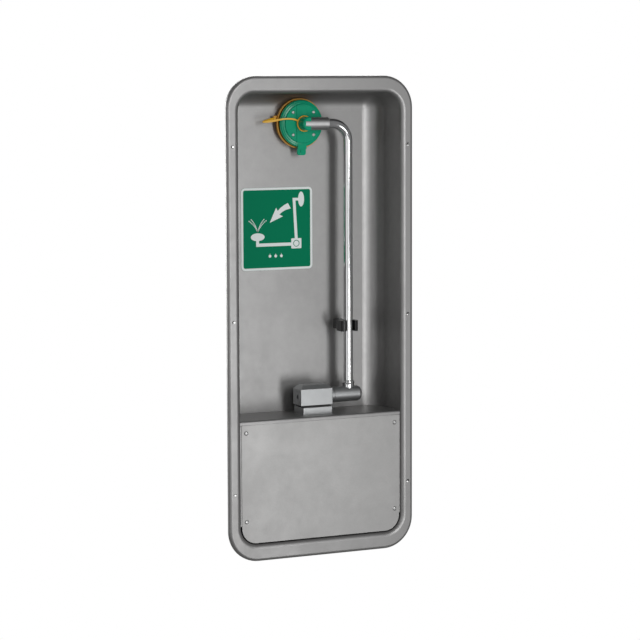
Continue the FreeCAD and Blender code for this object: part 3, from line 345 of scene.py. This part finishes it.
brass_metal = finish("machined brass", (0.62, 0.46, 0.22), (0.72, 0.56, 0.30), 0.28, 1.0, 2400,
                     bump=0.12, worn=(0.8, 0.68, 0.42), marks=0.1)
sign_film = finish("green sign film", (0.0, 0.212, 0.100), (0.0, 0.232, 0.112), 0.45, 0.0, 1200,
                   bump=0.03, marks=0.03, specular=0.05)
sign_print = finish("white sign print", (0.88, 0.94, 0.93), (0.94, 0.99, 0.98), 0.42, 0.0, 1200,
                    bump=0.03, marks=0.02, specular=0.2)
head_plastic = finish("green moulded head", (0.0, 0.330, 0.172), (0.0, 0.410, 0.220), 0.17, 0.0, 1500,
                      bump=0.10, worn=(0.05, 0.50, 0.34), wear=0.6, reach=0.0007, marks=0.05,
                      specular=0.35)
strap_plastic = finish("yellow strap plastic", (0.86, 0.46, 0.02), (0.95, 0.54, 0.035), 0.36, 0.0, 1800,
                       bump=0.10, worn=(0.9, 0.62, 0.2), wear=0.5, reach=0.0005, marks=0.05)
cover_plastic = finish("yellow cover plastic", (0.66, 0.30, 0.012), (0.78, 0.38, 0.025), 0.36, 0.0, 1500,
                       bump=0.10, worn=(0.9, 0.60, 0.2), wear=0.6, reach=0.0007, marks=0.06)
clip_plastic = finish("black clip plastic", (0.010, 0.010, 0.011), (0.018, 0.018, 0.019), 0.22, 0.0,
                      1800, bump=0.10, worn=(0.12, 0.12, 0.12), wear=0.5, reach=0.0006, marks=0.08)
seat_polymer = finish("white seat polymer", (0.72, 0.72, 0.68), (0.82, 0.82, 0.79), 0.42, 0.0, 1800,
                      bump=0.08)
seal_rubber = finish("black seal rubber", (0.012, 0.012, 0.012), (0.03, 0.03, 0.03), 0.6, 0.0, 2500,
                     bump=0.2, marks=0.1)

NODES_IN = {
    cabinet_sheet: ("wall_flange", "recess_left_wall", "recess_right_wall", "recess_back", "recess_top",
                    "recess_floor", "valve_shelf", "panel_bracket_left", "panel_bracket_right"),
    panel_sheet: ("access_panel",),
    valve_metal: ("valve_base", "valve_body", "valve_plug", "stop_collar", "valve_nose", "nose_plug"),
    adapter_metal: ("head_adapter",),
    tube_plating: ("tube_ferrule", "swing_tube"),
    screw_metal: ("flange_spacers", "panel_screws", "panel_clip_nuts", "clip_stud", "clip_nut",
                  "body_bolts", "strainer_screen", "stop_pin", "nose_set_screw", "head_screws",
                  "cover_peg"),
    brass_metal: ("supply_nipple", "supply_lock_nut", "strainer_body", "ball_stem"),
    sign_film: ("instruction_sign",),
    head_plastic: ("head_back", "head_bowl", "spray_plate"),
    strap_plastic: ("tether_strap",),
    cover_plastic: ("dust_cover",),
    clip_plastic: ("tube_clip",),
    seat_polymer: ("inlet_seat", "thrust_washer", "flow_disc"),
    seal_rubber: ("base_gasket", "plug_seal", "flow_regulator", "stem_seals", "head_gasket"),
}
for material, nodes in NODES_IN.items():
    for node in nodes:
        slots = NODES[node].data.materials
        slots.clear()
        slots.append(material)


# ---------------------------------------------------------------- instruction sign

SIGN_LOW, SIGN_HIGH = box_of("instruction_sign")
SIGN_X, SIGN_FACE, SIGN_Z = (SIGN_LOW.x + SIGN_HIGH.x) / 2, SIGN_LOW.y, (SIGN_LOW.z + SIGN_HIGH.z) / 2
SIGN_WIDE, SIGN_TALL = SIGN_HIGH.x - SIGN_LOW.x, SIGN_HIGH.z - SIGN_LOW.z
SIGN_CORNER = 9                     # corner radius of the sign
BORDER_INSETS = 0.2, 4.8            # outer and inner edge of the border, from the sign's edge
PRINT_SUNK = 0.1                    # how far the print reaches into the film
BORDER_RISE, BAR_RISE, PRINT_RISE = 0.15, 0.12, 0.2
LAYER_RISE = 0.02                   # keeps crossing bars off each other
LOWERED_HEAD = 0.230                # place of the lowered head across the sign
SPRAY_FOOT = 0.545                  # where its spray starts, down the sign
VALVE_BLOCK = 0.772, 0.685          # place of the valve block on the sign


def on_sign(u, v):
    """Place on the sign: u from its left edge and v from its top edge, both 0 to 1."""
    return SIGN_X + (u - 0.5) * SIGN_WIDE, SIGN_Z + (0.5 - v) * SIGN_TALL


def sign_shape(bm, corners, rise=PRINT_RISE):
    plate(bm, corners, SIGN_FACE + PRINT_SUNK, SIGN_FACE - rise)


def sign_bar(bm, start, end, wide_start, wide_end, layer):
    """Straight tapered bar between two places on the sign."""
    a, b = Vector(on_sign(*start)), Vector(on_sign(*end))
    side = (b - a).normalized().orthogonal()
    corners = [a + side * wide_start / 2, a - side * wide_start / 2, b - side * wide_end / 2,
               b + side * wide_end / 2]
    sign_shape(bm, corners, BAR_RISE + layer * LAYER_RISE)


def sign_border():
    bm = bmesh.new()
    outer, inner = (round_corners(SIGN_X, SIGN_Z, SIGN_WIDE - 2 * inset, SIGN_TALL - 2 * inset,
                                  SIGN_CORNER - inset) for inset in BORDER_INSETS)
    flat_ring(bm, outer, inner, SIGN_FACE - BORDER_RISE)
    thicken(bm, bm.faces[:], PRINT_SUNK + BORDER_RISE)
    keep_piece("sign_border", bm, "cabinet", sign_print)


def spray_jet(bm, lean, reach, drops=9):
    """Row of small drops that rises from the lowered head and curves outwards."""
    drop_wide, drop_tall, nearest, outward, upward, droop = 2.1, 3.1, 0.12, 0.19, 0.165, 0.02
    for step in range(drops):
        along = nearest + (1 - nearest) * step / (drops - 1)
        u = LOWERED_HEAD + lean * outward * along * (0.4 + 0.6 * along) * reach
        v = SPRAY_FOOT - upward * along * reach + droop * along * along
        sign_shape(bm, oval(*on_sign(u, v), drop_wide, drop_tall, lean * -0.9, 8))


def sign_pictogram():
    """Arm shown parked and lowered, with the way it swings and the spray."""
    bm = bmesh.new()
    # Parked tube and its level leg, then the lowered tube and its leg.
    sign_bar(bm, (0.742, 0.14), (0.772, 0.64), 6.2, 6.6, 1)
    sign_bar(bm, (0.722, 0.148), (0.82, 0.148), 5.6, 5.6, 2)
    sign_bar(bm, (0.71, 0.692), (0.208, 0.692), 6.6, 6.6, 1)
    sign_bar(bm, (0.228, 0.71), (0.228, 0.60), 6.4, 6.4, 2)
    # Parked head on edge, lowered head, valve block and the arrow between the two places.
    sign_shape(bm, oval(*on_sign(0.842, 0.148), 13.5, 31))
    sign_shape(bm, oval(*on_sign(LOWERED_HEAD, 0.595), 31, 16))
    sign_shape(bm, round_corners(*on_sign(*VALVE_BLOCK), 23, 21, 1.6, 3))
    arrow = ((0.655, 0.192), (0.696, 0.258), (0.625, 0.275), (0.575, 0.298), (0.535, 0.328), (0.585, 0.352),
             (0.400, 0.425), (0.490, 0.245), (0.512, 0.285), (0.555, 0.245), (0.605, 0.215))
    sign_shape(bm, [on_sign(u, v) for u, v in arrow])
    for lean, reach in ((-0.62, 1.0), (-0.42, 1.1), (0.42, 1.1), (0.62, 1.0)):
        spray_jet(bm, lean, reach)
    keep_piece("sign_pictogram", bm, "cabinet", sign_print)


def sign_drops():
    """Three plain drops at the foot of the sign."""
    bm = bmesh.new()
    for u in (0.40, 0.48, 0.56):
        sign_shape(bm, water_drop(*on_sign(u, 0.83)))
    keep_piece("sign_drops", bm, "cabinet", sign_print)


def sign_block_ring():
    """Green ring on the valve block of the pictogram."""
    bm = bmesh.new()
    x, z = on_sign(*VALVE_BLOCK)
    low, high, inside, outside = -0.28, -0.1, 5.6, 7.0
    turn_ring(bm, [(low, inside), (low, outside), (high, outside), (high, inside)], "y",
              (x, SIGN_FACE, z), 32)
    keep_piece("sign_block_ring", bm, "cabinet", sign_film)


sign_border()
sign_pictogram()
sign_drops()
sign_block_ring()


# ---------------------------------------------------------------- tether strap

HUB = middle_of("flow_disc")        # on the axis of the head and its hub
PEG = middle_of("cover_peg")
LOOP_Y = 72                         # middle of the strap's loop along the hub
EYE_Z = 403


def tether_strap():
    """Loop round the hub, arched band, fold beyond the rim and eye on the cover's peg."""
    bm = bmesh.new()
    loop = [(-1.4, 14.3), (-1.6, 15.2), (-1.2, 16.3), (0, 16.8), (1.2, 16.3), (1.6, 15.2), (1.4, 14.3)]
    turn_ring(bm, loop, "y", (HUB.x, LOOP_Y, HUB.z), 72)
    fold = (-92.6, 84.6, 397.0, 3.0, 1.3)
    ribbon(bm, [(-19.2, 71.8, 398.4, 3.4, 2.0), (-24, 71.7, 400.8, 3.4, 1.9), (-32, 71.8, 402.6, 3.4, 1.8),
                (-41, 72.3, 403.2, 3.4, 1.8), (-50, 73.2, 402.8, 3.5, 1.8), (-58, 75.2, 401.6, 3.8, 1.8),
                (-66, 77.6, 400.2, 4.6, 1.8), (-75, 80, 398.6, 5.2, 1.7), (-84, 82, 397.4, 4.6, 1.5),
                (-90, 83.4, 397.0, 3.6, 1.4), fold])
    ribbon(bm, [fold, (-91.4, 86.4, 397.6, 3.4, 1.4), (-84, 90, 399.4, 4.0, 1.6),
                (-74, 94.4, 401.6, 4.0, 1.6), (-66, 98, 403.0, 4.0, 1.6), (-61.4, 100.2, 403.0, 4.0, 1.7)])
    eye_half, eye_inside, eye_outside = 2, 1.34, 2.7
    eye = [(-eye_half, eye_inside), (-eye_half, eye_outside), (eye_half, eye_outside), (eye_half, eye_inside)]
    turn_ring(bm, eye, "z", (PEG.x, PEG.y, EYE_Z), 32)
    keep_piece("tether_strap_band", bm, "arm", strap_plastic, 50, (0.35, 2),
               ("tether_strap",))


tether_strap()


# ---------------------------------------------------------------- floor and wall

FLOOR_Z, FLOOR_HALF = -1.0, 60      # metres
WALL_Y = 10.4                       # millimetres, as are the outlines: width, height, corner radius
WALL_EDGE, WALL_OPENING, CABINET_EDGE = (6000, 6000, 60), (410, 974, 62), (380, 930, 40)
# The dark tone is painted shade: a dark sheet in the wall's opening round the cabinet, seen behind the
# flange's holes.
WALL_TONE, PAINTED_SHADE_TONE = 1.0, 0.03


def pale_stage(name, bm, facing_only=False, tone=WALL_TONE):
    """A plain sheet that the camera sees and that leaves the light on the station alone; a dark tone makes it
    a sheet of painted shade.
    """
    mesh = bpy.data.meshes.new(name)
    bm.to_mesh(mesh)
    bm.free()
    stage = bpy.data.objects.new(name, mesh)
    bpy.context.scene.collection.objects.link(stage)
    pale = bpy.data.materials.new(f"pale {name}")
    pale.use_nodes = True
    tree = pale.node_tree
    tree.nodes.clear()
    glow, clear = tree.nodes.new("ShaderNodeEmission"), tree.nodes.new("ShaderNodeBsdfTransparent")
    glow.inputs["Color"].default_value = (tone, tone, tone, 1)
    rays, seen = tree.nodes.new("ShaderNodeLightPath"), tree.nodes.new("ShaderNodeMixShader")
    tree.links.new(rays.outputs["Is Camera Ray"], seen.inputs[0])
    tree.links.new(clear.outputs[0], seen.inputs[1])
    tree.links.new(glow.outputs[0], seen.inputs[2])
    if facing_only:
        side, facing = tree.nodes.new("ShaderNodeNewGeometry"), tree.nodes.new("ShaderNodeMixShader")
        tree.links.new(side.outputs["Backfacing"], facing.inputs[0])
        tree.links.new(seen.outputs[0], facing.inputs[1])
        tree.links.new(clear.outputs[0], facing.inputs[2])
        seen = facing
    result = tree.nodes.new("ShaderNodeOutputMaterial")
    tree.links.new(seen.outputs[0], result.inputs["Surface"])
    mesh.materials.append(pale)


def plain_floor():
    bm = bmesh.new()
    bmesh.ops.create_grid(bm, x_segments=1, y_segments=1, size=FLOOR_HALF)
    bmesh.ops.translate(bm, verts=bm.verts, vec=(0, 0, FLOOR_Z))
    pale_stage("floor", bm)


def plain_wall():
    """Wall face round the box, open behind, so the cabinet looks built in from the front only, with a dark
    ring of painted shade between the wall's opening and the cabinet's edge.
    """
    # The second ring is painted shade round the cabinet's edge and behind the flange's holes.
    for name, outer, inner, tone in (("wall", WALL_EDGE, WALL_OPENING, WALL_TONE),
                                     ("wall_painted_shade", WALL_OPENING, CABINET_EDGE, PAINTED_SHADE_TONE)):
        bm = bmesh.new()
        flat_ring(bm, round_corners(0, 0, *outer), round_corners(0, 0, *inner), WALL_Y)
        for face in bm.faces:
            face.normal_update()
            if face.normal.y > 0:
                face.normal_flip()
        pale_stage(name, bm, facing_only=True, tone=tone)


# ---------------------------------------------------------------- light and camera

MIDDLE = 0, 0.05, 0                 # the middle of the recess, in metres
SURROUND_LIGHT = 0.19
SOFTBOXES = (                       # name, place, aim, width and height in metres, watts
    ("key light", (0.40, -3.2, 0.9), MIDDLE, (0.38, 1.5), 25),
    ("low front light", (0.72, -3.2, -0.8), (0, 0.05, -0.1), (0.5, 1.2), 19),
    ("front strip", (-0.95, -3.0, 0.0), MIDDLE, (0.6, 2.2), 10),
    ("left fill", (-2.6, -1.7, 0.0), MIDDLE, (2.0, 2.2), 9),
    ("back light", (0.9, 2.8, 1.4), (0, 0.1, 0), (1.6, 1.6), 40),
    ("far back light", (-1.8, 2.6, 0.4), (0, 0.1, 0), (1.2, 1.6), 40),
)
CAMERA_PLACE = -2.0075, -4.2263, 0.4874     # metres
CAMERA_TURN = 84.0035, 0.212, -25.37        # degrees about X, Y and Z
CAMERA_LENS, CAMERA_SENSOR = 130.1, 36      # millimetres


def softbox(name, place, aim, size, power):
    lamp = bpy.data.lights.new(name, "AREA")
    lamp.shape, lamp.size, lamp.size_y, lamp.energy = "RECTANGLE", *size, power
    holder = bpy.data.objects.new(name, lamp)
    holder.location = place
    holder.rotation_euler = (Vector(aim) - Vector(place)).to_track_quat("-Z", "Y").to_euler()
    bpy.context.scene.collection.objects.link(holder)


def studio():
    """Dim white surroundings, which the camera sees as white, and the soft lights."""
    world = bpy.data.worlds.new("studio")
    bpy.context.scene.world = world
    world.use_nodes = True
    tree = world.node_tree
    around, seen = tree.nodes["Background"], tree.nodes.new("ShaderNodeBackground")
    for background, strength in ((around, SURROUND_LIGHT), (seen, 1.0)):
        background.inputs["Color"].default_value = (1, 1, 1, 1)
        background.inputs["Strength"].default_value = strength
    rays, blend = tree.nodes.new("ShaderNodeLightPath"), tree.nodes.new("ShaderNodeMixShader")
    tree.links.new(rays.outputs["Is Camera Ray"], blend.inputs[0])
    tree.links.new(around.outputs[0], blend.inputs[1])
    tree.links.new(seen.outputs[0], blend.inputs[2])
    tree.links.new(blend.outputs[0], tree.nodes["World Output"].inputs["Surface"])
    for box in SOFTBOXES:
        softbox(*box)


def camera():
    lens = bpy.data.cameras.new("camera")
    lens.sensor_width, lens.lens = CAMERA_SENSOR, CAMERA_LENS
    lens.clip_start, lens.clip_end = 0.1, 200
    holder = bpy.data.objects.new("camera", lens)
    holder.location = CAMERA_PLACE
    holder.rotation_euler = [math.radians(angle) for angle in CAMERA_TURN]
    bpy.context.scene.collection.objects.link(holder)
    bpy.context.scene.camera = holder


plain_floor()
plain_wall()
studio()
camera()
bpy.context.scene.view_settings.view_transform = "Standard"
bpy.context.scene.view_settings.look = "None"
